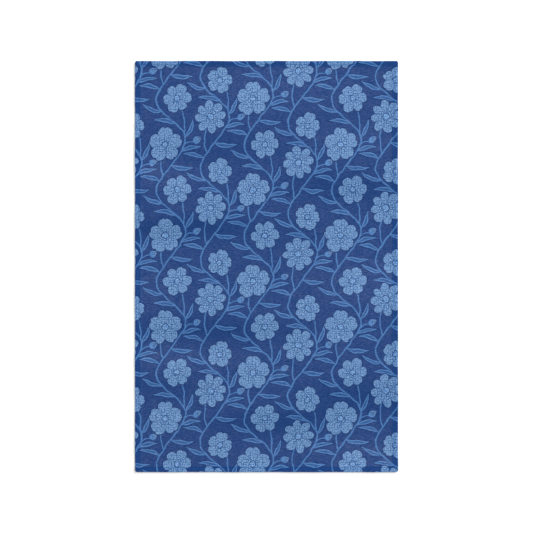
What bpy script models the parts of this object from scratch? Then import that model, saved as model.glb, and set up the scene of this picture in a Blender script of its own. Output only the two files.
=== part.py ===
"""A tea towel lying flat, face up: one sheet of thin cloth with a narrow double-turned hem all round.

Metres, +Z up. The origin is the middle of the underside, on the surface that the towel lies on.
+X runs across the width and +Y along the length, towards the top of the print.
"""

import math

import bmesh
import bpy
import numpy as np

# The finished towel, measured over its hems.
TOWEL_WIDTH = 0.4064
TOWEL_LENGTH = 0.6350
CORNER_RADIUS = 0.0032

# One layer of cloth in the field, and three, pressed and stitched down, in the hem.
CLOTH_THICKNESS = 0.0015
HEM_THICKNESS = 0.0023
HEM_WIDTH = 0.0078
HEM_FALL = 0.0034  # where the face comes down from the hem to the field
STITCH_INSET = 0.0062  # from the outer fold to the row of stitching
STITCH_SINK = 0.0004  # how far the stitching draws the hem in
FOLD_ROUND = 0.0010  # the outer fold's rounding, above and below
FOLD_STEPS = 3

# The cloth's cross-section, from the outer fold inwards.
HEM_PROFILE = (
    # inset, thickness
    (0.0, HEM_THICKNESS),
    (CORNER_RADIUS * 0.45, HEM_THICKNESS),
    (CORNER_RADIUS, HEM_THICKNESS),
    (STITCH_INSET, HEM_THICKNESS - STITCH_SINK),
    (HEM_WIDTH, HEM_THICKNESS),
    (HEM_WIDTH + HEM_FALL, CLOTH_THICKNESS),
)

PRINT_BLUE = (0.058, 0.127, 0.319, 1.0)  # the mean colour of the printed face
CLOTH_ROUGHNESS = 0.86


def clear_scene():
    for old in list(bpy.data.objects):
        bpy.data.objects.remove(old, do_unlink=True)


def grid_lines(size):
    """Where the sheet's points lie across one side: in the hems only, as the field is flat."""
    insets = [inset for inset, thickness in HEM_PROFILE]
    far_insets = [size - inset for inset in reversed(insets)]
    return [place - size / 2 for place in insets + far_insets]


def round_corner(x, y):
    """Moves a point of a corner's square onto the same point of its quarter disc."""
    past_x = abs(x) - (TOWEL_WIDTH / 2 - CORNER_RADIUS)
    past_y = abs(y) - (TOWEL_LENGTH / 2 - CORNER_RADIUS)
    if past_x <= 0 or past_y <= 0:
        return x, y
    pull = max(past_x, past_y) / math.hypot(past_x, past_y)
    new_x = TOWEL_WIDTH / 2 - CORNER_RADIUS + past_x * pull
    new_y = TOWEL_LENGTH / 2 - CORNER_RADIUS + past_y * pull
    return math.copysign(new_x, x), math.copysign(new_y, y)


def thickness_at(x, y):
    insets, thicknesses = zip(*HEM_PROFILE)
    inset = min(TOWEL_WIDTH / 2 - abs(x), TOWEL_LENGTH / 2 - abs(y))
    return float(np.interp(inset, insets, thicknesses))


def printed_cloth():
    material = bpy.data.materials.new("printed_cloth")
    material.use_nodes = True
    shader = material.node_tree.nodes["Principled BSDF"]
    shader.inputs["Base Color"].default_value = PRINT_BLUE
    shader.inputs["Roughness"].default_value = CLOTH_ROUGHNESS
    shader.inputs["Metallic"].default_value = 0.0
    return material


def make_underside(name):
    """The towel's flat underside, as one open surface that faces up."""
    across = grid_lines(TOWEL_WIDTH)
    along = grid_lines(TOWEL_LENGTH)
    cells = len(across) - 1
    grid = bmesh.new()
    bmesh.ops.create_grid(grid, x_segments=cells, y_segments=cells, size=1.0)
    for point in grid.verts:
        column = round((point.co.x + 1.0) / 2.0 * cells)
        row = round((point.co.y + 1.0) / 2.0 * cells)
        point.co.x, point.co.y = round_corner(across[column], along[row])
    mesh = bpy.data.meshes.new(name)
    grid.to_mesh(mesh)
    grid.free()
    return mesh


def make_cloth(collection):
    """The underside, given its thickness upwards, point by point, and a round fold along its rim."""
    name = "cloth"
    cloth = bpy.data.objects.new(name, make_underside(name))
    collection.objects.link(cloth)
    cloth.data.materials.append(printed_cloth())

    layers = cloth.vertex_groups.new(name="share_of_hem_thickness")
    for point in cloth.data.vertices:
        share = thickness_at(point.co.x, point.co.y) / HEM_THICKNESS
        layers.add([point.index], share, "REPLACE")

    body = cloth.modifiers.new("cloth_body", "SOLIDIFY")
    body.thickness = HEM_THICKNESS
    body.offset = 1.0
    body.vertex_group = layers.name

    fold = cloth.modifiers.new("outer_fold", "BEVEL")
    fold.limit_method = "ANGLE"
    fold.angle_limit = math.radians(50.0)
    fold.width = FOLD_ROUND
    fold.segments = FOLD_STEPS

    cloth.data.shade_smooth()


def main():
    clear_scene()
    towel = bpy.data.collections.new("tea_towel")
    bpy.context.scene.collection.children.link(towel)
    make_cloth(towel)


main()
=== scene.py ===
"""A printed tea towel, flat and face up on a pale floor. Metres, +Z up, the print's top at +Y."""

import math

import bmesh
import bpy
import numpy as np
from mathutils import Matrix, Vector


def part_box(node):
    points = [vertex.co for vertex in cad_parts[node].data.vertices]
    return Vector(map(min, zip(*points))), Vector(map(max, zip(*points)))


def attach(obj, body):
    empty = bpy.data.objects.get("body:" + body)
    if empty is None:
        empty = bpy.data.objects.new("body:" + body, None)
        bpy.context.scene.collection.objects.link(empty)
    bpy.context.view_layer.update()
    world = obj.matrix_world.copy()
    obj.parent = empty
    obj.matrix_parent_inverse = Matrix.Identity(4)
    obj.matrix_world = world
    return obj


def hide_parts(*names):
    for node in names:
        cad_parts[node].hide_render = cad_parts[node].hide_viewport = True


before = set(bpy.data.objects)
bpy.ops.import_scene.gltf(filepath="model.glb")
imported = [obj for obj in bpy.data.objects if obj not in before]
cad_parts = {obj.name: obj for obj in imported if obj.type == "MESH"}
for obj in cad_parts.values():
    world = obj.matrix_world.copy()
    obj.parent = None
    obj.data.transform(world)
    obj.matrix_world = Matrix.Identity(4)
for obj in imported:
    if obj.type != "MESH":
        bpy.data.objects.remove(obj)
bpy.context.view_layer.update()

# Cloth
# One panel of plain-woven cotton, turned twice to the back on all four sides. It lies flat. Over
# the hem its face stands higher by two layers, the stitching draws the hem in, and under the field
# its back clears the floor by what the turned hem adds below.

low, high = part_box("cloth")
WIDTH, LENGTH, HEM_THICKNESS = high - low
CORNER_RADIUS = 0.0032
HEM_WIDTH = 0.0078
STITCH_INSET = 0.0062  # from the outer fold to the row of stitching
FOLD_ROUND = 0.00105  # the outer fold's rounding, above and below
FOLD_STEPS = 4
FOLD_ANGLE = math.radians(50.0)  # edges sharper than this are rounded
FIELD_CELL = 0.0036  # between the sheet's points inside the hems

HEM_SECTION = (
    # inset from the outer fold, height of the face, height of the back
    (0.0000, 0.00230, 0.00000),
    (0.0014, 0.00230, 0.00000),
    (0.0023, 0.00232, 0.00000),
    (0.0032, 0.00230, 0.00000),
    (0.0043, 0.00222, 0.00002),
    (0.0053, 0.00206, 0.00010),
    (0.0059, 0.00188, 0.00026),
    (STITCH_INSET, 0.00183, 0.00032),
    (0.0065, 0.00188, 0.00026),
    (0.0071, 0.00204, 0.00008),
    (0.0077, 0.00210, 0.00002),
    (0.0079, 0.00209, 0.00048),
    (0.0087, 0.00192, 0.00052),
    (0.0098, 0.00168, 0.00054),
    (0.0112, 0.00154, 0.00054),
    (0.0132, 0.00150, 0.00054),
)

# The broad, very low swells that pressed cloth keeps when it is laid out.
SWELLS = (
    # middle x, middle y, runs at (degrees), reach along, reach across, rise
    (-0.120, 0.210, 32.0, 0.200, 0.060, 0.00050),
    (0.090, 0.060, 118.0, 0.220, 0.070, 0.00040),
    (-0.060, -0.150, 66.0, 0.190, 0.055, 0.00045),
    (0.140, -0.240, 28.0, 0.160, 0.060, 0.00050),
)

# Bands across the width with painted shade and sheen: paler where a low wave of the cloth would face
# the light, darker where it would face away.
PAINTED_WAVE_BANDS = (
    # middle x, middle y, runs at (degrees), reach along, reach across, paler by (painted light; below
    # 0, painted shade)
    (0.020, 0.282, 0.0, 0.260, 0.060, 0.50),
    (0.152, 0.198, -3.0, 0.120, 0.034, 0.55),
    (-0.070, 0.183, 3.0, 0.150, 0.034, -0.60),
    (-0.173, 0.143, -2.0, 0.120, 0.034, 0.95),
    (0.120, 0.121, -6.0, 0.150, 0.036, -0.95),
    (-0.125, 0.059, 1.0, 0.190, 0.032, -1.15),
    (0.030, 0.045, 2.0, 0.130, 0.030, -0.45),
    (0.175, -0.020, 4.0, 0.190, 0.070, 0.70),
    (-0.190, -0.030, 0.0, 0.110, 0.045, 0.40),
    (-0.075, -0.098, -1.0, 0.190, 0.034, -0.95),
    (-0.140, -0.141, -3.0, 0.150, 0.027, 0.85),
    (0.150, -0.203, -2.0, 0.160, 0.044, -1.00),
    (-0.160, -0.190, 2.0, 0.110, 0.030, -0.50),
    (0.020, -0.240, 2.0, 0.150, 0.033, -1.15),
    (0.150, -0.290, 0.0, 0.130, 0.036, 0.85),
)

PUCKER_RISE = 0.00012
PUCKER_SPACING = 0.0135
PUCKER_SECTION = (
    # inset from the outer fold, share of the rise
    (0.0, 0.25),
    (0.003, 1.0),
    (0.009, 1.0),
    (0.022, 0.0),
)
PUCKER_DRIFT = (
    # the puckers' spacing wavers: length of a wave over 2 pi, its start, its size, in radians
    (0.0147, 0.6, 1.9),
    (0.0391, 0.0, 1.1),
)
EDGE_WANDER = 0.00012  # how far the outer fold strays sideways
EDGE_WANDER_REACH = 0.012
EDGE_WAVES = (
    # length of a wave over 2 pi, its start in radians, share of the wander
    (0.0173, 1.3, 1.0),
    (0.0071, 0.0, 0.6),
)
CORNER_RISE = 0.00045  # how much thicker the hems make the cloth where two of them cross
CORNER_SECTION = (
    # inset from the outer fold, share of the rise
    (0.0, 0.45),
    (0.003, 1.0),
    (HEM_WIDTH, 1.0),
    (0.0112, 0.0),
)
LAP_RISE = 0.00018  # how far the side hems lift before they run under the end hems
LAP_REACH = 0.014


def grid_lines(size):
    """Where the sheet's points lie across one side: close together in the hems."""
    *hem, field_start = [row[0] for row in HEM_SECTION]
    cells = round((size - 2 * field_start) / FIELD_CELL)
    field = list(np.linspace(field_start, size - field_start, cells + 1))
    far_hem = [size - inset for inset in reversed(hem)]
    return np.array(hem + field + far_hem) - size / 2


def round_corner(x, y):
    """Moves a point of a corner's square onto the same point of its quarter disc."""
    past_x = abs(x) - (WIDTH / 2 - CORNER_RADIUS)
    past_y = abs(y) - (LENGTH / 2 - CORNER_RADIUS)
    if past_x <= 0 or past_y <= 0:
        return x, y
    pull = max(past_x, past_y) / math.hypot(past_x, past_y)
    new_x = WIDTH / 2 - CORNER_RADIUS + past_x * pull
    new_y = LENGTH / 2 - CORNER_RADIUS + past_y * pull
    return math.copysign(new_x, x), math.copysign(new_y, y)


def flat_sheet(name):
    """The towel's flat outline on its grid lines, as one open surface that faces up."""
    across, along = grid_lines(WIDTH), grid_lines(LENGTH)
    columns, rows = len(across) - 1, len(along) - 1
    grid = bmesh.new()
    bmesh.ops.create_grid(grid, x_segments=columns, y_segments=rows, size=1.0)
    for point in grid.verts:
        column = round((point.co.x + 1.0) / 2.0 * columns)
        row = round((point.co.y + 1.0) / 2.0 * rows)
        point.co.x, point.co.y = round_corner(across[column], along[row])
    mesh = bpy.data.meshes.new(name)
    grid.to_mesh(mesh)
    grid.free()
    return mesh


def plain_mesh(source, name):
    """The evaluated object as a mesh object of its own. The source is removed."""
    bpy.context.view_layer.update()
    graph = bpy.context.evaluated_depsgraph_get()
    made = bpy.data.objects.new(name, bpy.data.meshes.new_from_object(source.evaluated_get(graph)))
    made.data.name = name
    bpy.context.scene.collection.objects.link(made)
    bpy.data.objects.remove(source)
    return made


def make_cloth():
    """An even slab of the hem's thickness, its outer fold rounded."""
    slab = bpy.data.objects.new("slab", flat_sheet("slab"))
    bpy.context.scene.collection.objects.link(slab)
    body = slab.modifiers.new("cloth_body", "SOLIDIFY")
    body.thickness = HEM_THICKNESS
    body.offset = 1.0
    fold = slab.modifiers.new("outer_fold", "BEVEL")
    fold.limit_method = "ANGLE"
    fold.angle_limit = FOLD_ANGLE
    fold.width = FOLD_ROUND
    fold.segments = FOLD_STEPS
    return plain_mesh(slab, "towel_cloth")


def insets(x, y):
    """How far a point lies in from the nearest long side, and from the nearest end."""
    return WIDTH / 2 - np.abs(x), LENGTH / 2 - np.abs(y)


def beside_edge(x, y):
    """The inset from the nearest side, and the place along that side."""
    inset_x, inset_y = insets(x, y)
    return np.minimum(inset_x, inset_y), np.where(inset_x < inset_y, y, x)


def at_inset(inset, section, column=1):
    """One column of a section's table at each inset, straight from row to row."""
    columns = np.array(section).T
    return np.interp(inset, columns[0], columns[column])


def ripple(along, waves):
    """The sum of some waves along a side."""
    return sum(size * np.sin(along / length + start) for length, start, size in waves)


def mounds(x, y, rows):
    """The sum of some soft, long mounds at each point of two arrays."""
    rise = np.zeros(x.shape)
    for middle_x, middle_y, runs_at, reach_along, reach_across, top in rows:
        turn = math.radians(runs_at)
        along = ((x - middle_x) * math.cos(turn) + (y - middle_y) * math.sin(turn)) / reach_along
        across = ((y - middle_y) * math.cos(turn) - (x - middle_x) * math.sin(turn)) / reach_across
        share = np.clip(along**2 + across**2, 0.0, 1.0)
        rise += top * (1.0 - share) ** 2
    return rise


def pucker(x, y):
    """The small gathers that the stitching leaves in the hem and just inside it."""
    inset, along = beside_edge(x, y)
    turn = 2 * math.pi * along / PUCKER_SPACING + ripple(along, PUCKER_DRIFT)
    return PUCKER_RISE * at_inset(inset, PUCKER_SECTION) * np.sin(turn)


def corner_rise(x, y):
    """The end hems lie over the side hems at the corners, so the face stands higher there."""
    inset_x, inset_y = insets(x, y)
    return CORNER_RISE * at_inset(inset_x, CORNER_SECTION) * at_inset(inset_y, CORNER_SECTION)


def lap_rise(x, y):
    """The step on the back where a side hem runs under an end hem."""
    inset_x, inset_y = insets(x, y)
    to_end_hem = inset_y - HEM_WIDTH
    share = np.clip(1.0 - to_end_hem / LAP_REACH, 0.0, 1.0)
    return LAP_RISE * share * ((inset_x < HEM_WIDTH) & (to_end_hem > 0))


def face_height(x, y):
    hem = at_inset(np.minimum(*insets(x, y)), HEM_SECTION, 1)
    return hem + mounds(x, y, SWELLS) + pucker(x, y) + corner_rise(x, y)


def back_height(x, y):
    hem = at_inset(np.minimum(*insets(x, y)), HEM_SECTION, 2)
    return hem + mounds(x, y, SWELLS) + lap_rise(x, y)


BACK_SHARE = 0.01  # points below this share of the slab's height are on its back


def place_on_cloth(x, y, height):
    """Where each point of the slab lies on the cloth, which runs on round its fold to the back."""
    inset_x, inset_y = insets(x, y)
    # On the back the end hems take the corners.
    on_back = height < BACK_SHARE
    in_lap = on_back & (inset_x < HEM_WIDTH) & (inset_y < HEM_WIDTH)
    side_nearest = (inset_x < inset_y) & ~in_lap
    inset = np.where(side_nearest, inset_x, inset_y)
    past_fold = HEM_THICKNESS * (1.0 - height) - inset * (2.0 * height - 1.0)
    cloth_x = np.where(side_nearest, np.sign(x) * (WIDTH / 2 + past_fold), x)
    cloth_y = np.where(side_nearest, y, np.sign(y) * (LENGTH / 2 + past_fold))
    return cloth_x, cloth_y


def shape_cloth(mesh):
    """Gives the slab its hem, swells and puckers, and notes where each point lies on the cloth."""
    places = np.zeros(len(mesh.vertices) * 3, np.float32)
    mesh.vertices.foreach_get("co", places)
    x, y, z = places.reshape(-1, 3).astype(float).T
    height = z / HEM_THICKNESS

    cloth_x, cloth_y = place_on_cloth(x, y, height)
    on_cloth = mesh.attributes.new("on_cloth", "FLOAT_VECTOR", "POINT")
    on_cloth.data.foreach_set("vector", np.stack([cloth_x, cloth_y, np.zeros_like(x)], 1).ravel())
    # The wave bands' painted shade and sheen, noted at each point for the shader.
    wave_bands = mesh.attributes.new("painted_wave_bands", "FLOAT", "POINT")
    wave_bands.data.foreach_set("value", mounds(x, y, PAINTED_WAVE_BANDS))

    back, face = back_height(x, y), face_height(x, y)
    inset, along = beside_edge(x, y)
    inset_x, inset_y = insets(x, y)
    wander = EDGE_WANDER * np.clip(1.0 - inset / EDGE_WANDER_REACH, 0.0, 1.0)
    shift = wander * ripple(along, EDGE_WAVES)
    x = x + np.where(inset_x < inset_y, shift, 0.0)
    y = y + np.where(inset_x < inset_y, 0.0, shift)
    z = back + height * (face - back)
    mesh.vertices.foreach_set("co", np.stack([x, y, z], 1).ravel())
    mesh.update()
    return cloth_x, cloth_y


PRINTED_SIDE, PLAIN_SIDE = 0, 1  # the cloth's two materials
FACING_DOWN = -0.7  # a face whose normal has less than this along Z is on the back
MAP_MARGIN = 0.008


def lay_out(mesh, cloth_x, cloth_y):
    """Gives each face its side of the cloth, and lays the cloth out flat on a map for the bake: the
    front with its outer folds at full size, and the back beside it at about half."""
    layer = mesh.uv_layers.new(name="OFBake")
    scale = (1.0 - 2 * MAP_MARGIN) / (LENGTH + 2 * HEM_THICKNESS)
    back_left = 3 * MAP_MARGIN + scale * (WIDTH + 2 * HEM_THICKNESS)
    back_scale = (1.0 - MAP_MARGIN - back_left) / WIDTH
    for face in mesh.polygons:
        is_back = face.normal.z < FACING_DOWN
        # The hem is turned to the back with its printed side out.
        in_field = min(insets(face.center.x, face.center.y)) > HEM_WIDTH
        face.material_index = PLAIN_SIDE if is_back and in_field else PRINTED_SIDE
        for corner in face.loop_indices:
            point = mesh.loops[corner].vertex_index
            if is_back:
                place = mesh.vertices[point].co
                across = back_left + back_scale * (WIDTH / 2 - place.x)
                up = MAP_MARGIN + back_scale * (LENGTH / 2 + place.y)
            else:
                across = MAP_MARGIN + scale * (WIDTH / 2 + HEM_THICKNESS + cloth_x[point])
                up = MAP_MARGIN + scale * (LENGTH / 2 + HEM_THICKNESS + cloth_y[point])
            layer.data[corner].uv = (across, up)


cloth = make_cloth()
lay_out(cloth.data, *shape_cloth(cloth.data))
cloth.data.shade_smooth()

# The print
# A small-scale floral on one face: stippled open blooms on deep blue, in the bends of slender
# waving stems, with veined leaves and buds. Each column is the one beside it, dropped by a quarter
# of the repeat, and its blooms take turns between two forms. The inks soak in, with soft edges.

COLUMN_WIDTH = 0.06773
REPEAT_LENGTH = 0.1411
COLUMN_DROP = REPEAT_LENGTH / 4
DESIGN_ORIGIN = (0.012, 0.020)  # where the towel's middle lies on the design
INK_SPREAD = 0.00018


class Value:
    """A node's output. Arithmetic on it adds Math nodes, and in a sum or product it comes first."""

    def __init__(self, socket):
        self.socket = socket

    def math(self, operation, *others):
        return reckon(self.socket.id_data, operation, self, *others)

    def __add__(self, other):
        return self.math("ADD", other)

    def __sub__(self, other):
        return self.math("SUBTRACT", other)

    def __rsub__(self, other):
        return reckon(self.socket.id_data, "SUBTRACT", other, self)

    def __mul__(self, other):
        return self.math("MULTIPLY", other)

    def __truediv__(self, other):
        return self.math("DIVIDE", other)

    def __rtruediv__(self, other):
        return reckon(self.socket.id_data, "DIVIDE", other, self)

    def __pow__(self, other):
        return self.math("POWER", other)

    def size(self):
        return self.math("ABSOLUTE")

    def least(self, other):
        return self.math("MINIMUM", other)

    def most(self, other):
        return self.math("MAXIMUM", other)

    def clipped(self):
        """The value kept between 0 and 1."""
        result = self + 0.0
        result.socket.node.use_clamp = True
        return result

    def inked(self, spread=INK_SPREAD):
        """1 where this distance is inside a shape and 0 outside, with a soft edge between."""
        result = self.math("MULTIPLY_ADD", 0.5 / spread, 0.5)
        result.socket.node.use_clamp = True
        return result


def feed(tree, port, item):
    """Links a value to a node's input, or sets the input to a plain number, name or colour."""
    if isinstance(item, Value):
        tree.links.new(item.socket, port)
    else:
        port.default_value = item


def new_node(tree, kind, settings=None, **inputs):
    """A node with its settings and inputs. An underscore stands for the space in an input's name."""
    node = tree.nodes.new(kind)
    for label, setting in (settings or {}).items():
        setattr(node, label, setting)
    for label, item in inputs.items():
        feed(tree, node.inputs[label.replace("_", " ")], item)
    return node


def reckon(tree, operation, *items):
    """A Math node on values and plain numbers."""
    node = new_node(tree, "ShaderNodeMath", {"operation": operation})
    for port, item in zip(node.inputs, items):
        feed(tree, port, item)
    return Value(node.outputs[0])


def parts_of(tree, vector):
    """The X, Y and Z of a vector."""
    return [Value(port) for port in new_node(tree, "ShaderNodeSeparateXYZ", Vector=vector).outputs]


def flat_noise(tree, place, scale, detail):
    """A node of noise that varies across the cloth."""
    settings = {"noise_dimensions": "2D"}
    return new_node(tree, "ShaderNodeTexNoise", settings, Vector=place, Scale=scale, Detail=detail)


def mixed(tree, share, under, over):
    """The colour over laid on the colour under, as far as share says."""
    node = new_node(tree, "ShaderNodeMix", {"data_type": "RGBA"}, Factor=share)
    colour_ports = [port for port in node.inputs if port.type == "RGBA"]
    for port, colour in zip(colour_ports, (under, over)):
        feed(tree, port, colour)
    return Value([port for port in node.outputs if port.type == "RGBA"][0])


def new_group(name, inputs, outputs):
    """A shader node group. inputs has each socket's default, and a tuple makes a colour or vector."""
    tree = bpy.data.node_groups.new(name, "ShaderNodeTree")
    kinds = {3: "NodeSocketVector", 4: "NodeSocketColor"}
    for label, default in inputs.items():
        kind = kinds[len(default)] if isinstance(default, tuple) else "NodeSocketFloat"
        port = tree.interface.new_socket(label, in_out="INPUT", socket_type=kind)
        port.default_value = default
    for label in outputs:
        kind = "NodeSocketColor" if label.endswith("Color") else "NodeSocketFloat"
        tree.interface.new_socket(label, in_out="OUTPUT", socket_type=kind)
    entry = tree.nodes.new("NodeGroupInput")
    return tree, {label: Value(entry.outputs[label]) for label in inputs}


def close_group(tree, results):
    exit_node = tree.nodes.new("NodeGroupOutput")
    for label, value in results.items():
        tree.links.new(value.socket, exit_node.inputs[label])
    return tree


def use_group(tree, group, given):
    """One use of a group in a tree. Returns its outputs as values, by name."""
    node = new_node(tree, "ShaderNodeGroup", {"node_tree": group})
    for label, item in given.items():
        feed(tree, node.inputs[label], item)
    return {port.name: Value(port) for port in node.outputs}


def only(given, labels):
    """Some of a group's inputs, by name."""
    return {label: given[label] for label in labels}


PLACE_INPUTS = {"X": 0.0, "Y": 0.0, "Middle X": 0.0, "Middle Y": 0.0}
BENT_LINE_INPUTS = {**PLACE_INPUTS, "Angle": 0.0, "Chord": 0.03, "Sag": 0.0}
WIDE_LINE_INPUTS = {**BENT_LINE_INPUTS, "Width": 0.008}


def nearest_copy_group():
    """A point's place beside the nearest copy of a motif in the dropped repeat."""
    sizes = {
        "Columns": 1.0,
        "Column Width": COLUMN_WIDTH,
        "Column Drop": COLUMN_DROP,
        "Repeat Length": REPEAT_LENGTH,
    }
    tree, given = new_group("nearest copy", {**PLACE_INPUTS, **sizes}, ["X", "Y"])
    across = given["X"] - given["Middle X"]
    up = given["Y"] - given["Middle Y"]
    cell = given["Column Width"] * given["Columns"]
    column = (across / cell).math("ROUND")
    across = across - column * cell
    up = up - column * given["Columns"] * given["Column Drop"]
    up = up - (up / given["Repeat Length"]).math("ROUND") * given["Repeat Length"]
    return close_group(tree, {"X": across, "Y": up})


NEAREST_COPY = nearest_copy_group()


def bent_line_group():
    """A point's place along and beside a line that leaves its chord by Sag at the middle."""
    tree, given = new_group("bent line", BENT_LINE_INPUTS, ["Along", "Across"])
    local = use_group(tree, NEAREST_COPY, only(given, PLACE_INPUTS))
    cosine, sine = given["Angle"].math("COSINE"), given["Angle"].math("SINE")
    share = (local["X"] * cosine + local["Y"] * sine) * 2.0 / given["Chord"]
    aside = local["Y"] * cosine - local["X"] * sine
    bow = aside - given["Sag"] * (1.0 - share * share)
    slope = given["Sag"] * share * 4.0 / given["Chord"]
    across = bow / (slope * slope + 1.0).math("SQRT")
    return close_group(tree, {"Along": share * 0.5 + 0.5, "Across": across})


BENT_LINE = bent_line_group()


def on_line(tree, given):
    """Along, from 0 to 1, the distance beside the line, and the distance inside its two ends."""
    line = use_group(tree, BENT_LINE, only(given, BENT_LINE_INPUTS))
    ends = line["Along"].least(1.0 - line["Along"]) * given["Chord"]
    return line["Along"], line["Across"].size(), ends


def inside_oval(given, along, beside, ends, lean, slimness):
    """How far a point is inside a pointed oval. A lean under 1 moves its widest place to its foot."""
    belly = ((along.clipped() ** lean) * math.pi).math("SINE") ** slimness
    return (given["Width"] * 0.5 * belly - beside).least(ends)


LEAF_FORM = (0.85, 1.0)  # lean, slimness
RIB_HALF_WIDTH = 0.00036
RIB_START = 0.07  # as a share of the leaf's length
RIB_END = 0.86
RIB_TAPER = 0.02  # the smaller, the slimmer the rib comes to its two points
VEIN_SPACING = 0.0036
VEIN_SLANT = 1.2
VEIN_HALF_WIDTH = 0.00028
LEAF_HALO = 0.0012  # how far the darker ground round a leaf reaches
LEAF_HALO_START = 0.1  # none at the foot, where the leaf leaves its stem
LEAF_HALO_FULL = 0.35


def leaf_group():
    """A slim leaf: how far a point is inside it, its halo, its midrib and its side veins."""
    tree, given = new_group("leaf", WIDE_LINE_INPUTS, ["Inside", "Halo", "Rib", "Veins"])
    along, beside, ends = on_line(tree, given)
    inside = inside_oval(given, along, beside, ends, *LEAF_FORM)
    rib_ends = ((along - RIB_START) * RIB_TAPER).least((RIB_END - along) * RIB_TAPER)
    stripe = (along * given["Chord"] - beside * VEIN_SLANT) / VEIN_SPACING
    off_vein = (stripe - stripe.math("ROUND")).size() * VEIN_SPACING
    halo_share = ((along - LEAF_HALO_START) / (LEAF_HALO_FULL - LEAF_HALO_START)).clipped()
    results = {
        "Inside": inside,
        "Halo": inside + halo_share * LEAF_HALO,
        "Rib": (RIB_HALF_WIDTH - beside).least(rib_ends),
        "Veins": VEIN_HALF_WIDTH - off_vein,
    }
    return close_group(tree, results)


BUD_FORM = (0.7, 0.7)  # lean, slimness
CUP_SHARE = 0.36  # of the bud's length
CUP_LIP = 0.5  # how steeply the cup's lip rises to the bud's sides


def bud_group():
    """A plump closed bud, pointed at its tip, and the leafy cup at its foot."""
    tree, given = new_group("bud", WIDE_LINE_INPUTS, ["Inside", "Cup"])
    along, beside, ends = on_line(tree, given)
    inside = inside_oval(given, along, beside, ends, *BUD_FORM)
    cup = (CUP_SHARE - along) * given["Chord"] + beside * CUP_LIP
    return close_group(tree, {"Inside": inside, "Cup": cup.least(inside)})


STALK_TAPER = 0.2  # the share of its width that a stalk loses towards its end
STALK_OVERRUN = 0.0006  # how far it runs on into what it joins


def stalk_group():
    """A slender stalk that thins towards its end."""
    tree, given = new_group("stalk", WIDE_LINE_INPUTS, ["Inside"])
    along, beside, ends = on_line(tree, given)
    half = given["Width"] * 0.5 * (1.0 - along.clipped() * STALK_TAPER)
    return close_group(tree, {"Inside": (half - beside).least(ends + STALK_OVERRUN)})


STEM_WIDTH = 0.0023
STEM_SWING = 0.022
STEM_SWAY = 0.0025
STEM_TURN = 2 * math.pi / REPEAT_LENGTH  # how far on in its wave the stem is for each metre up


def stem_group():
    """The waving stem that runs the length of each column."""
    tree, given = new_group("waving stem", {"X": 0.0, "Y": 0.0, "Width": STEM_WIDTH}, ["Inside"])
    local = use_group(tree, NEAREST_COPY, only(given, ("X", "Y")))
    turn = local["Y"] * STEM_TURN
    wave = turn.math("COSINE") * STEM_SWING + (turn * 2.0).math("SINE") * STEM_SWAY
    sway_slope = (turn * 2.0).math("COSINE") * (2 * STEM_SWAY * STEM_TURN)
    slope = sway_slope - turn.math("SINE") * (STEM_SWING * STEM_TURN)
    off = (local["X"] - wave).size() / (slope * slope + 1.0).math("SQRT")
    return close_group(tree, {"Inside": given["Width"] * 0.5 - off})


PETAL_UNLIKENESS = 0.05  # the share by which a petal may be longer or shorter than the rest
NOTCH_WIDTH = 0.34  # of the petal's width
GAP_AT_EYE = 0.3  # of the gap between two petals' tips


def blossom_group():
    """An open bloom: distances inside its petals, its outline and its eye, and the share outwards."""
    sizes = {
        "Turn": 0.0,
        "Radius": 0.026,
        "Petals": 5.0,
        "Cleft": 0.42,
        "Notch": 0.1,
        "Gap": 0.0009,
        "Eye": 0.004,
    }
    outputs = ["Petals", "Outline", "Eye", "Outward"]
    tree, given = new_group("blossom", {**PLACE_INPUTS, **sizes}, outputs)
    local = use_group(tree, NEAREST_COPY, {**only(given, PLACE_INPUTS), "Columns": 2.0})
    out = (local["X"] * local["X"] + local["Y"] * local["Y"]).math("SQRT")
    angle = local["Y"].math("ARCTAN2", local["X"]) - given["Turn"]
    petal_angle = 2 * math.pi / given["Petals"]
    turns = angle / petal_angle
    number = turns.math("ROUND")
    aside = (turns - number).size() * 2.0
    unlike = (number * petal_angle * 2.0 + given["Turn"]).math("SINE") * PETAL_UNLIKENESS + 1.0
    dome = (1.0 - aside * aside).most(0.0).math("SQRT")
    dent = (1.0 - aside / NOTCH_WIDTH).most(0.0) ** 2.0
    profile = given["Cleft"] * (dome - 1.0) + 1.0 - given["Notch"] * dent
    edge = given["Radius"] * profile * unlike
    to_next = out * ((1.0 - aside) * petal_angle * 0.5).least(math.pi / 2).math("SINE")
    gap = given["Gap"] * (out / given["Radius"] * (1.0 - GAP_AT_EYE) + GAP_AT_EYE)
    results = {
        "Petals": (edge - out).least(to_next - gap),
        "Outline": edge - out,
        "Eye": given["Eye"] - out,
        "Outward": out / edge,
    }
    return close_group(tree, results)


BIG_BLOOM = (-0.0090, -0.0030)
SMALL_BLOOM = (0.0095, 0.0680)
NEXT_BIG = (BIG_BLOOM[0] + COLUMN_WIDTH + 0.0025, BIG_BLOOM[1] + COLUMN_DROP + 0.0075)
NEXT_SMALL = (SMALL_BLOOM[0] + COLUMN_WIDTH - 0.0020, SMALL_BLOOM[1] + COLUMN_DROP - 0.0070)
SPRIG_END = (0.0350, 0.0015)

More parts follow.
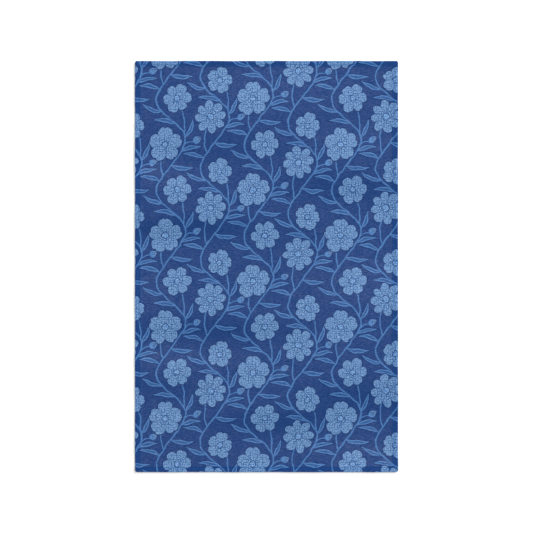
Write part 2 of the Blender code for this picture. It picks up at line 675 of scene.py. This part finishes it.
BLOSSOMS = (
    # middle, turn (degrees), radius, petals, cleft, notch, gap, eye
    (BIG_BLOOM, 18.0, 0.0264, 5, 0.42, 0.11, 0.0009, 0.0042),
    (NEXT_BIG, 52.0, 0.0247, 8, 0.50, 0.00, 0.0011, 0.0046),
    (SMALL_BLOOM, 5.0, 0.0221, 6, 0.44, 0.06, 0.0009, 0.0040),
    (NEXT_SMALL, 75.0, 0.0202, 5, 0.42, 0.10, 0.0008, 0.0036),
)
LEAVES = (
    # height on the stem, angle (degrees), length, width, sag
    (-0.014, 12.0, 0.033, 0.0066, 0.0030),
    (-0.060, 168.0, 0.033, 0.0066, -0.0030),
    (0.029, 172.0, 0.035, 0.0070, -0.0025),
    (0.047, 158.0, 0.034, 0.0066, 0.0030),
    (0.008, 68.0, 0.030, 0.0064, -0.0025),
    (-0.036, -4.0, 0.036, 0.0070, -0.0030),
)
STALKS = (
    # height on the stem, end, sag, width
    (-0.052, BIG_BLOOM, 0.0050, 0.0021),
    (0.014, SMALL_BLOOM, -0.0040, 0.0021),
    (-0.004, SPRIG_END, 0.0020, 0.0018),
)
BUDS = (
    # foot, angle (degrees), length, width
    (SPRIG_END, 28.0, 0.0125, 0.0095),
)


def stem_point(height):
    """The point of a column's stem at a height in the repeat."""
    turn = STEM_TURN * height
    return STEM_SWING * math.cos(turn) + STEM_SWAY * math.sin(2 * turn), height


def between(start, end):
    """The inputs of a line from one point of the design to another."""
    run, rise = end[0] - start[0], end[1] - start[1]
    return {
        "Middle X": (start[0] + end[0]) / 2,
        "Middle Y": (start[1] + end[1]) / 2,
        "Angle": math.atan2(rise, run),
        "Chord": math.hypot(run, rise),
    }


def pointing(start, degrees, length):
    """The inputs of a line from a point of the design, so long and at this angle."""
    turn = math.radians(degrees)
    return between(start, (start[0] + length * math.cos(turn), start[1] + length * math.sin(turn)))


def joined(before, part, least=()):
    """A shape's outputs laid with those before it: the most of each, or the least of some."""
    if before is None:
        return part
    return {
        label: before[label].least(value) if label in least else before[label].most(value)
        for label, value in part.items()
    }


OUTLINE_STRAY = 0.0026  # how far the hand that drew the outlines strays
OUTLINE_STRAY_REACH = 0.012
DOT_SPACING = 0.0027  # of the pale dots that fill the petals
DOT_UNEVENNESS = 0.55
DOT_RADIUS = 0.00085  # beside the eye
DOT_GROWTH = 0.00025  # how much bigger the dots are at the tips
BUD_DOT_RADIUS = 0.0010
LEAF_EDGE = 0.0016  # the width of a leaf's paler edge
VEIN_INK = 0.25  # the share of the ground's ink that the veins take
RIB_INK = 0.7
BUD_EDGE = 0.0013
PETAL_PALING = 0.6  # how far the ink under the dots turns to the tips' towards the outline
PETAL_EDGE = 0.0007
PETAL_EDGE_INK = 0.25
BLOOM_HALO = 0.0015
EYE_RING = 0.0010


def drawn_place(tree, on_cloth):
    """Where a point lies on the design, with the hand's straying."""
    stray = flat_noise(tree, on_cloth, 1 / OUTLINE_STRAY_REACH, 0.0)
    strays = parts_of(tree, Value(stray.outputs["Color"]))
    place = {}
    for label, part, strayed, start in zip("XY", parts_of(tree, on_cloth), strays, DESIGN_ORIGIN):
        place[label] = part + (strayed - 0.5) * OUTLINE_STRAY + start
    return place


def off_nearest_dot(tree, on_cloth):
    """The distance to the middle of the nearest dot of the stipple."""
    dots = new_node(
        tree,
        "ShaderNodeTexVoronoi",
        {"voronoi_dimensions": "2D"},
        Vector=on_cloth,
        Scale=1 / DOT_SPACING,
        Randomness=DOT_UNEVENNESS,
    )
    return Value(dots.outputs["Distance"]) * DOT_SPACING


def print_stems(tree, inks, place):
    """The deep ground, and on it the stems with their stalks."""
    stem, stalk = stem_group(), stalk_group()
    inside = use_group(tree, stem, place)["Inside"]
    for height, end, sag, width in STALKS:
        line = between(stem_point(height), end)
        shape = use_group(tree, stalk, {**place, **line, "Sag": sag, "Width": width})
        inside = inside.most(shape["Inside"])
    return mixed(tree, inside.inked(), inks["Ground"], inks["Stem"])


def print_leaves(tree, inks, place, colour):
    """The leaves: a dark halo, a pale edge, a deeper core, and veins in the ground's colour."""
    leaf = leaf_group()
    leaves = None
    for height, angle, length, width, sag in LEAVES:
        line = pointing(stem_point(height), angle, length)
        leaves = joined(leaves, use_group(tree, leaf, {**place, **line, "Sag": sag, "Width": width}))
    inside = leaves["Inside"]
    core = (inside - LEAF_EDGE).inked()
    colour = mixed(tree, leaves["Halo"].inked(), colour, inks["Halo"])
    colour = mixed(tree, inside.inked(), colour, inks["Leaf Edge"])
    colour = mixed(tree, core, colour, inks["Leaf"])
    colour = mixed(tree, core * leaves["Veins"].inked() * VEIN_INK, colour, inks["Ground"])
    return mixed(tree, inside.least(leaves["Rib"]).inked() * RIB_INK, colour, inks["Ground"])


def print_buds(tree, inks, place, off_dot, colour):
    """The buds: pale at the edge, dotted inside, with their cups over them."""
    bud = bud_group()
    for foot, angle, length, width in BUDS:
        shape = use_group(tree, bud, {**place, **pointing(foot, angle, length), "Width": width})
        core = shape["Inside"] - BUD_EDGE
        colour = mixed(tree, shape["Inside"].inked(), colour, inks["Petal Tip"])
        colour = mixed(tree, core.inked(), colour, inks["Petal"])
        colour = mixed(tree, (BUD_DOT_RADIUS - off_dot).least(core).inked(), colour, inks["Petal Tip"])
        colour = mixed(tree, shape["Cup"].inked(), colour, inks["Leaf Edge"])
    return colour


def print_blooms(tree, inks, place, off_dot, colour):
    """The blooms: petals filled with pale dots and parted by the ink below, and a ringed eye."""
    blossom = blossom_group()
    bloom = None
    for (middle_x, middle_y), turn, *sizes in BLOSSOMS:
        shape = dict(zip(("Radius", "Petals", "Cleft", "Notch", "Gap", "Eye"), sizes))
        shape.update({"Middle X": middle_x, "Middle Y": middle_y, "Turn": math.radians(turn)})
        bloom = joined(bloom, use_group(tree, blossom, {**place, **shape}), least=("Outward",))
    outward = bloom["Outward"].clipped()
    petal_ground = mixed(tree, outward * outward * PETAL_PALING, inks["Petal"], inks["Petal Tip"])
    dot = (outward * DOT_GROWTH + DOT_RADIUS - off_dot).least(bloom["Petals"])
    dot_colour = mixed(tree, outward, inks["Inner Dot"], inks["Outer Dot"])
    petal_edge = bloom["Petals"].least(PETAL_EDGE - bloom["Petals"])
    colour = mixed(tree, (bloom["Outline"] + BLOOM_HALO).inked(), colour, inks["Halo"])
    colour = mixed(tree, bloom["Outline"].inked(), colour, petal_ground)
    colour = mixed(tree, dot.inked(), colour, dot_colour)
    colour = mixed(tree, petal_edge.inked() * PETAL_EDGE_INK, colour, inks["Petal Tip"])
    colour = mixed(tree, (bloom["Eye"] + EYE_RING).inked(), colour, inks["Halo"])
    colour = mixed(tree, bloom["Eye"].inked(), colour, inks["Leaf Edge"])
    pollen = bloom["Eye"].least(DOT_RADIUS - off_dot)
    return mixed(tree, pollen.inked(), colour, inks["Inner Dot"])


STUDIO_LIGHT = 1.36  # what a perfectly white surface would give back; the floor is meant to burn out


def seen_as(red, green, blue):
    """The surface colour that looks like this on a screen, from 0 to 255, under the studio light."""
    shares = [level / 255 for level in (red, green, blue)]
    linear = [s / 12.92 if s <= 0.04045 else ((s + 0.055) / 1.055) ** 2.4 for s in shares]
    return (*(level / STUDIO_LIGHT for level in linear), 1.0)


INKS = {
    "Ground": seen_as(24, 66, 129),
    "Halo": seen_as(6, 51, 113),
    "Stem": seen_as(71, 122, 183),
    "Leaf": seen_as(52, 101, 164),
    "Leaf Edge": seen_as(80, 130, 191),
    "Petal": seen_as(48, 96, 157),
    "Petal Tip": seen_as(102, 143, 193),
    "Inner Dot": seen_as(146, 186, 229),
    "Outer Dot": seen_as(114, 156, 206),
}


def print_group():
    """The whole print. Each shape lies over those before it."""
    tree, given = new_group("floral print", {"On Cloth": (0.0, 0.0, 0.0), **INKS}, ["Color"])
    inks = only(given, INKS)
    place = drawn_place(tree, given["On Cloth"])
    off_dot = off_nearest_dot(tree, given["On Cloth"])
    colour = print_stems(tree, inks, place)
    colour = print_leaves(tree, inks, place, colour)
    colour = print_buds(tree, inks, place, off_dot, colour)
    colour = print_blooms(tree, inks, place, off_dot, colour)
    return close_group(tree, {"Color": colour})


FLORAL_PRINT = print_group()

# The weave
# Warp threads run up the cloth and weft threads across it, and each passes over every other one of
# those that it crosses. The weft is the rougher yarn, with slubs. A thread that takes less ink is
# paler, and it shows some of its bare yarn.

THREAD_SPACING = 0.00045
WEFT_RUN = 0.0050  # how far along a weft thread its yarn stays about the same
WARP_RUN = 0.0013
SLUB_LENGTH = 0.022
SLUB_WIDTH = 0.0016
THREAD_DRIFT = 1.6  # how many threads the weave strays by
THREAD_DRIFT_REACH = 0.009
THIN_INK_REACH = 0.012
NEXT_THREAD = 3.7  # how far on in the noise the next thread is, so that it is unlike this one
WARP_ROUGHNESS = 0.55  # of the weft's
YARN_TONE = 1.6  # how much darker or lighter each thread's own yarn is
SLUB_TONE = 0.08
# Painted shade: the colour is darker where the threads dip between each other and lighter on their
# crowns.
PAINTED_SHADE_BETWEEN_THREADS = 0.36  # how much darker the cloth is between its threads
EVEN_HEIGHT = 0.6  # the height, from 0 to 1 on a thread's crown, where the tone stays as it is
# How much the wave bands' painted shade and light change the tone.
WAVE_BAND_SHADE = 0.107
YARN_BARE = 9.6  # how much more bare yarn shows on a thread that takes less ink
SLUB_BARE = 0.3
# How much the wave bands' painted sheen adds to the bare yarn that shows.
WAVE_BAND_SHEEN = 0.56
THREAD_HEIGHT = 0.6
SLUB_HEIGHT = 0.8


def weave_group():
    """The height of the threads, the tone of their yarn with painted shade between them, and the bare
    yarn that shows between inks; both carry the wave bands' painted shade and sheen.
    """
    sizes = {
        "Thread Spacing": THREAD_SPACING,
        "Weft Run": WEFT_RUN,
        "Warp Run": WARP_RUN,
        "Slub Length": SLUB_LENGTH,
        "Slub Width": SLUB_WIDTH,
        "Unevenness": 1.0,
        "Painted Wave Bands": 0.0,
    }
    outputs = ["Height", "Tone And Shade", "Bare Yarn And Sheen"]
    tree, given = new_group("plain weave", {"On Cloth": (0.0, 0.0, 0.0), **sizes}, outputs)
    x, y = parts_of(tree, given["On Cloth"])[:2]

    def noise(right, up):
        """Noise, 0 on average, that changes over about 1 of each of its two inputs."""
        place = new_node(tree, "ShaderNodeCombineXYZ", X=right, Y=up)
        return Value(flat_noise(tree, Value(place.outputs[0]), 1.0, 1.0).outputs[0]) - 0.5

    drift = noise(x / THREAD_DRIFT_REACH, y / THREAD_DRIFT_REACH) * THREAD_DRIFT
    across, up = x / given["Thread Spacing"] + drift, y / given["Thread Spacing"] + drift
    warp_number, weft_number = across.math("FLOOR"), up.math("FLOOR")
    warp_wave = 0.5 - ((up + warp_number + 0.5) * math.pi).math("COSINE") * 0.5
    weft_wave = ((across + weft_number + 0.5) * math.pi).math("COSINE") * 0.5 + 0.5
    warp = (across * math.pi).math("SINE").size() * warp_wave
    weft = (up * math.pi).math("SINE").size() * weft_wave
    threads = warp.most(weft)

    weft_yarn = noise(x / given["Weft Run"], weft_number * NEXT_THREAD)
    warp_yarn = noise(warp_number * NEXT_THREAD, y / given["Warp Run"]) * WARP_ROUGHNESS
    yarn = warp_yarn + (weft_yarn - warp_yarn) * weft.math("GREATER_THAN", warp)
    weft_slubs = noise(x / given["Slub Length"], y / given["Slub Width"])
    warp_slubs = noise(x / given["Slub Width"], y / given["Slub Length"])
    thin_ink = noise(x / THIN_INK_REACH, y / THIN_INK_REACH)

    uneven = yarn * YARN_TONE + weft_slubs * SLUB_TONE
    # The yarn's own tone, with painted shade between the threads and painted light on their crowns.
    tone = uneven * given["Unevenness"] + (threads - EVEN_HEIGHT) * PAINTED_SHADE_BETWEEN_THREADS + 1.0
    bare = yarn * YARN_BARE + weft_slubs * SLUB_BARE + thin_ink + 1.0
    results = {
        "Height": threads * THREAD_HEIGHT + (weft_slubs + warp_slubs) * SLUB_HEIGHT,
        # The wave bands paint their shade and light into the tone, and their sheen into the bare yarn.
        "Tone And Shade": tone * (given["Painted Wave Bands"] * WAVE_BAND_SHADE + 1.0),
        "Bare Yarn And Sheen": (bare * (given["Painted Wave Bands"] * WAVE_BAND_SHEEN + 1.0)).most(0.0),
    }
    return close_group(tree, results)


PLAIN_WEAVE = weave_group()

BARE_YARN = seen_as(249, 231, 188)  # with the floor's light through the cloth
FIELD_BARE_SHARE = 0.0165
HEM_BARE_SHARE = 0.0018  # three layers let less light through, so the hem looks bluer
HEM_LOOK_WIDTH = 0.0088  # how far in the hem's layers still block the light from below
HEM_LOOK_EDGE = 0.0007
CLOTH_FINISH = {"Specular IOR Level": 0.06, "Sheen Weight": 0.05, "Sheen Roughness": 0.5}
CLOTH_ROUGHNESS = 0.86
ROUGHNESS_CHANGE = 0.3  # the darker the yarn, the rougher
WEAVE_DEPTH = 0.00016
WEAVE_RELIEF = 0.5  # how strongly the depth shows
STITCH_SPACING = 0.0032
HOLE_RADIUS = 0.00032
HOLE_EDGE = 0.00012
# Painted shade: a needle hole's colour is darker for the shade inside it.
HOLE_PAINTED_SHADE = 0.55  # how much darker a needle hole is
HOLE_PULL = 0.0016  # how far from a needle hole the cloth is drawn down
HOLE_DEPTH = 1.4  # as a share of the weave's depth
UNPRINTED_COTTON = (0.74, 0.75, 0.76, 1.0)
SHOW_THROUGH = 0.20  # how much of the print shows on the back
BACK_UNEVENNESS = 0.22  # of the threads' tone, beside 1 on the face


def new_material(name, finish):
    """A new material, its tree and its Principled shader, which takes its even inputs from finish."""
    material = bpy.data.materials.new(name)
    material.use_nodes = True
    shader = material.node_tree.nodes["Principled BSDF"]
    for label, item in finish.items():
        shader.inputs[label].default_value = item
    return material, material.node_tree, shader


def noted(tree, name, output="Vector"):
    """What the mesh notes under this name at each of its points."""
    note = new_node(tree, "ShaderNodeAttribute", {"attribute_name": name})
    return Value(note.outputs[output])


def whole_stitches(side):
    """The spacing nearest to STITCH_SPACING that fits a side a whole number of times."""
    return side / round(side / STITCH_SPACING)


def off_needle_hole(x, y):
    """The distance to the nearest hole of the stitching, which follows all four sides."""
    right, top = WIDTH / 2 - STITCH_INSET, LENGTH / 2 - STITCH_INSET
    nearest = None
    for along, across, reach, line in ((x, y, right, top), (y, x, top, right)):
        spacing = whole_stitches(2 * reach)
        share = (along - reach) / spacing
        beside = (share - share.math("ROUND")) * spacing
        past_end = (along.size() - reach).most(0.0)
        off_line = (across.size() - line).size()
        distance = (beside * beside + off_line * off_line).math("SQRT") + past_end
        nearest = distance if nearest is None else nearest.least(distance)
    return nearest


def weave(tree, shader, colour, place, bare_share, unevenness):
    """Weaves a colour into cloth: bare yarn between the inks, threads in its tone and its normal, and
    the needle holes, which draw it down and are painted darker for the shade inside them."""
    given = {"On Cloth": place, "Unevenness": unevenness, "Painted Wave Bands": noted(tree, "painted_wave_bands", "Fac")}
    threads = use_group(tree, PLAIN_WEAVE, given)
    off_hole = off_needle_hole(*parts_of(tree, place)[:2])
    hole = (HOLE_RADIUS - off_hole).inked(HOLE_EDGE)
    pull = (1.0 - off_hole / HOLE_PULL).most(0.0)
    toned = new_node(
        tree,
        "ShaderNodeHueSaturation",
        Color=mixed(tree, threads["Bare Yarn And Sheen"] * bare_share, colour, BARE_YARN),
        Value=threads["Tone And Shade"] * (1.0 - hole * HOLE_PAINTED_SHADE),
    )
    bump = new_node(
        tree,
        "ShaderNodeBump",
        Height=threads["Height"] - pull * pull * HOLE_DEPTH,
        Strength=WEAVE_RELIEF,
        Distance=WEAVE_DEPTH,
    )
    feed(tree, shader.inputs["Base Color"], Value(toned.outputs[0]))
    roughness = (1.0 - threads["Tone And Shade"]) * ROUGHNESS_CHANGE + CLOTH_ROUGHNESS
    feed(tree, shader.inputs["Roughness"], roughness)
    feed(tree, shader.inputs["Normal"], Value(bump.outputs[0]))


def printed_face():
    """The printed side, which is also the outside of the hem."""
    material, tree, shader = new_material("printed_face", CLOTH_FINISH)
    on_cloth = noted(tree, "on_cloth")
    colour = use_group(tree, FLORAL_PRINT, {"On Cloth": on_cloth})["Color"]
    x, y = parts_of(tree, on_cloth)[:2]
    inset = (WIDTH / 2 - x.size()).least(LENGTH / 2 - y.size())
    in_hem = (HEM_LOOK_WIDTH - inset).inked(HEM_LOOK_EDGE)
    bare_share = in_hem * (HEM_BARE_SHARE - FIELD_BARE_SHARE) + FIELD_BARE_SHARE
    weave(tree, shader, colour, on_cloth, bare_share, 1.0)
    return material


def plain_back():
    """The unprinted side: pale cloth that the print just shows through."""
    material, tree, shader = new_material("plain_back", CLOTH_FINISH)
    place = Value(new_node(tree, "ShaderNodeTexCoord").outputs["Object"])
    colour = use_group(tree, FLORAL_PRINT, {"On Cloth": place})["Color"]
    faint = mixed(tree, SHOW_THROUGH, UNPRINTED_COTTON, colour)
    weave(tree, shader, faint, place, 0.0, BACK_UNEVENNESS)
    return material


cloth.data.materials.append(printed_face())
cloth.data.materials.append(plain_back())

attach(cloth, "root")
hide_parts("cloth")

# Hem stitching
# One row of lock stitch in blue cotton thread holds the hem down on all four sides. Each stitch
# lies along the face between two needle holes and dives into them, and the bobbin thread lies the
# same way on the back. The needle turns on the spot at the corners.

STITCH_LENGTH = 0.0026
STITCH_STRAY = 0.035  # how far, in radians, a stitch may turn out of line
THREAD_THICKNESS = 0.00044
THREAD_DIVE = 0.00015  # how far down a stitch ends in its needle holes
THREAD_ARCH = 1.5  # how high its curve is drawn between them, as a share of the dive
TWIST_LENGTH = 0.0009  # along the thread, for one turn of its plies
THREAD_FINISH = {"Roughness": 0.6, "Specular IOR Level": 0.15}
THREAD_BLUE = seen_as(58, 102, 166)
# Painted shade: the thread's colour in the groove between its plies.
PAINTED_SHADE_BETWEEN_PLIES = seen_as(34, 74, 134)
PLY_DEPTH = 0.00006
PLY_RELIEF = 0.7
THREAD_STEPS = 5  # along a stitch
THREAD_SIDES = 6
PATH_STEP = 0.002


def stitch_tree():
    """Geometry Nodes that lay one stitch after another along a path."""
    tree = bpy.data.node_groups.new("row_of_stitches", "GeometryNodeTree")
    tree.is_modifier = True
    kinds = {
        "Path": "NodeSocketGeometry",
        "Spacing": "NodeSocketFloat",
        "Stitch Length": "NodeSocketFloat",
        "Thread Thickness": "NodeSocketFloat",
        "Dive": "NodeSocketFloat",
        "Thread": "NodeSocketMaterial",
        "Seed": "NodeSocketInt",
    }
    for label, kind in kinds.items():
        tree.interface.new_socket(label, in_out="INPUT", socket_type=kind)
    tree.interface.new_socket("Stitches", in_out="OUTPUT", socket_type="NodeSocketGeometry")
    entry = tree.nodes.new("NodeGroupInput")
    given = {label: Value(entry.outputs[label]) for label in kinds}

    def step(kind, settings=None, **inputs):
        """The first output of a new node."""
        return Value(new_node(tree, kind, settings, **inputs).outputs[0])

    # One stitch, from its left needle hole over its crown to its right one.
    half = given["Stitch Length"] * 0.5
    dive = given["Dive"] * -1.0
    lie = step(
        "GeometryNodeCurveQuadraticBezier",
        Resolution=THREAD_STEPS,
        Start=step("ShaderNodeCombineXYZ", X=half * -1.0, Z=dive),
        Middle=step("ShaderNodeCombineXYZ", Z=given["Dive"] * THREAD_ARCH),
        End=step("ShaderNodeCombineXYZ", X=half, Z=dive),
    )
    radius = given["Thread Thickness"] * 0.5
    section = step("GeometryNodeCurvePrimitiveCircle", Resolution=THREAD_SIDES, Radius=radius)
    stitch = step("GeometryNodeCurveToMesh", Curve=lie, Profile_Curve=section, Fill_Caps=True)
    stitch = step(
        "GeometryNodeStoreNamedAttribute",
        {"data_type": "FLOAT_VECTOR"},
        Geometry=stitch,
        Name="on_thread",
        Value=step("GeometryNodeInputPosition"),
    )

    # The row, evenly spaced, each stitch a little out of line with the last.
    gaps = (step("GeometryNodeSplineLength") / given["Spacing"]).math("ROUND")
    places = step("GeometryNodeResampleCurve", {"mode": "COUNT"}, Curve=given["Path"], Count=gaps + 1.0)
    tangent = step("GeometryNodeInputTangent")
    along = step("FunctionNodeAlignRotationToVector", {"axis": "X"}, Vector=tangent)
    stray = step(
        "FunctionNodeRandomValue",
        {"data_type": "FLOAT_VECTOR"},
        Min=(0.0, 0.0, -STITCH_STRAY),
        Max=(0.0, 0.0, STITCH_STRAY),
        Seed=given["Seed"],
    )
    stray = step("FunctionNodeEulerToRotation", Euler=stray)
    local = {"rotation_space": "LOCAL"}
    turned = step("FunctionNodeRotateRotation", local, Rotation=along, Rotate_By=stray)
    row = step("GeometryNodeInstanceOnPoints", Points=places, Instance=stitch, Rotation=turned)
    row = step("GeometryNodeRealizeInstances", Geometry=row)
    row = step("GeometryNodeSetShadeSmooth", Geometry=row)
    row = step("GeometryNodeSetMaterial", Geometry=row, Material=given["Thread"])
    return close_group(tree, {"Stitches": row})


def cotton_thread():
    """Blue sewing thread of two plies, twisted together, with painted shade in the groove between them.
    """
    material, tree, shader = new_material("cotton_thread", THREAD_FINISH)
    along, aside, up = parts_of(tree, noted(tree, "on_thread"))
    round_it = up.math("ARCTAN2", aside)
    ply = (along * (2 * math.pi / TWIST_LENGTH) + round_it).math("SINE").size()
    feed(tree, shader.inputs["Base Color"], mixed(tree, ply, PAINTED_SHADE_BETWEEN_PLIES, THREAD_BLUE))
    bump = new_node(tree, "ShaderNodeBump", Height=ply, Strength=PLY_RELIEF, Distance=PLY_DEPTH)
    feed(tree, shader.inputs["Normal"], Value(bump.outputs[0]))
    return material


def stitch_path(name, height_at):
    """A curve along the stitching on each of the four sides, from stitch middle to stitch middle."""
    right, top = WIDTH / 2 - STITCH_INSET, LENGTH / 2 - STITCH_INSET
    corners = ((-right, -top), (right, -top), (right, top), (-right, top))
    curve = bpy.data.curves.new(name, "CURVE")
    curve.dimensions = "3D"
    for start, end in zip(corners, corners[1:] + corners[:1]):
        side = math.dist(start, end)
        half_stitch = whole_stitches(side) / 2 / side
        steps = round(side / PATH_STEP)
        shares = np.linspace(half_stitch, 1 - half_stitch, steps + 1)
        x = start[0] + shares * (end[0] - start[0])
        y = start[1] + shares * (end[1] - start[1])
        spline = curve.splines.new("POLY")
        spline.points.add(steps)
        points = np.stack([x, y, height_at(x, y), np.ones_like(x)], 1)
        spline.points.foreach_set("co", points.ravel())
    path = bpy.data.objects.new(name, curve)
    bpy.context.scene.collection.objects.link(path)
    return path


def sew(name, height_at, dive, thread, tree, seed):
    """One row of stitches on all four sides, as a piece of its own."""
    path = stitch_path(name + "_path", height_at)
    row = path.modifiers.new("stitches", "NODES")
    row.node_group = tree
    sizes = {
        "Spacing": STITCH_SPACING,
        "Stitch Length": STITCH_LENGTH,
        "Thread Thickness": THREAD_THICKNESS,
        "Dive": dive,
        "Thread": thread,
        "Seed": seed,
    }
    for port in tree.interface.items_tree:
        if port.name in sizes:
            row[port.identifier] = sizes[port.name]
    stitches = plain_mesh(path, name)
    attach(stitches, "root")
    return stitches


stitches_on_path = stitch_tree()
thread = cotton_thread()
face_stitches = sew("face_stitches", face_height, THREAD_DIVE, thread, stitches_on_path, 3)
back_stitches = sew("back_stitches", back_height, -THREAD_DIVE, thread, stitches_on_path, 8)

# Studio
# A wide pale floor, an even white surround and one large soft box, far off and high on the upper
# right, whose light falls short on the left and lower sides. The camera looks straight down, as
# the photo does, on a long lens.

FLOOR_SIZE = 12.0
FLOOR_FINISH = {"Base Color": (0.96, 0.96, 0.96, 1.0), "Roughness": 0.9, "Specular IOR Level": 0.1}
KEY_SHARE = 0.38  # of the studio light; the rest is the surround
KEY_DISTANCE = 9.0
KEY_HEIGHT_ANGLE = math.radians(27.0)
KEY_TURN = math.radians(45.0)  # from +X towards +Y
KEY_SIZE = 2.2
VIEW_WIDTH = 0.8235
CAMERA_HEIGHT = 4.0
FARTHEST_SEEN = 30.0


def make_floor():
    bpy.ops.mesh.primitive_plane_add(size=FLOOR_SIZE)
    floor = bpy.context.object
    floor.name = "floor"
    floor.data.materials.append(new_material("pale_floor", FLOOR_FINISH)[0])


def make_soft_box():
    """Bright enough to light the level floor with its share of the studio light."""
    data = bpy.data.lights.new("soft_box", "AREA")
    data.size = KEY_SIZE
    facing = math.pi * KEY_DISTANCE**2 / math.sin(KEY_HEIGHT_ANGLE)
    data.energy = STUDIO_LIGHT * KEY_SHARE * math.pi * facing
    light = bpy.data.objects.new("soft_box", data)
    level = KEY_DISTANCE * math.cos(KEY_HEIGHT_ANGLE)
    height = KEY_DISTANCE * math.sin(KEY_HEIGHT_ANGLE)
    light.location = (level * math.cos(KEY_TURN), level * math.sin(KEY_TURN), height)
    light.rotation_euler = (-light.location).to_track_quat("-Z", "Y").to_euler()
    bpy.context.scene.collection.objects.link(light)


def make_surround():
    world = bpy.data.worlds.new("surround")
    world.use_nodes = True
    background = world.node_tree.nodes["Background"]
    background.inputs["Color"].default_value = (1.0, 1.0, 1.0, 1.0)
    background.inputs["Strength"].default_value = STUDIO_LIGHT * (1.0 - KEY_SHARE)
    bpy.context.scene.world = world


def make_camera():
    data = bpy.data.cameras.new("camera")
    data.lens = data.sensor_width * CAMERA_HEIGHT / VIEW_WIDTH
    data.clip_end = FARTHEST_SEEN
    camera = bpy.data.objects.new("camera", data)
    camera.location = (0.0, 0.0, CAMERA_HEIGHT)
    bpy.context.scene.collection.objects.link(camera)
    bpy.context.scene.camera = camera


make_floor()
make_soft_box()
make_surround()
make_camera()
bpy.context.scene.view_settings.view_transform = "Standard"
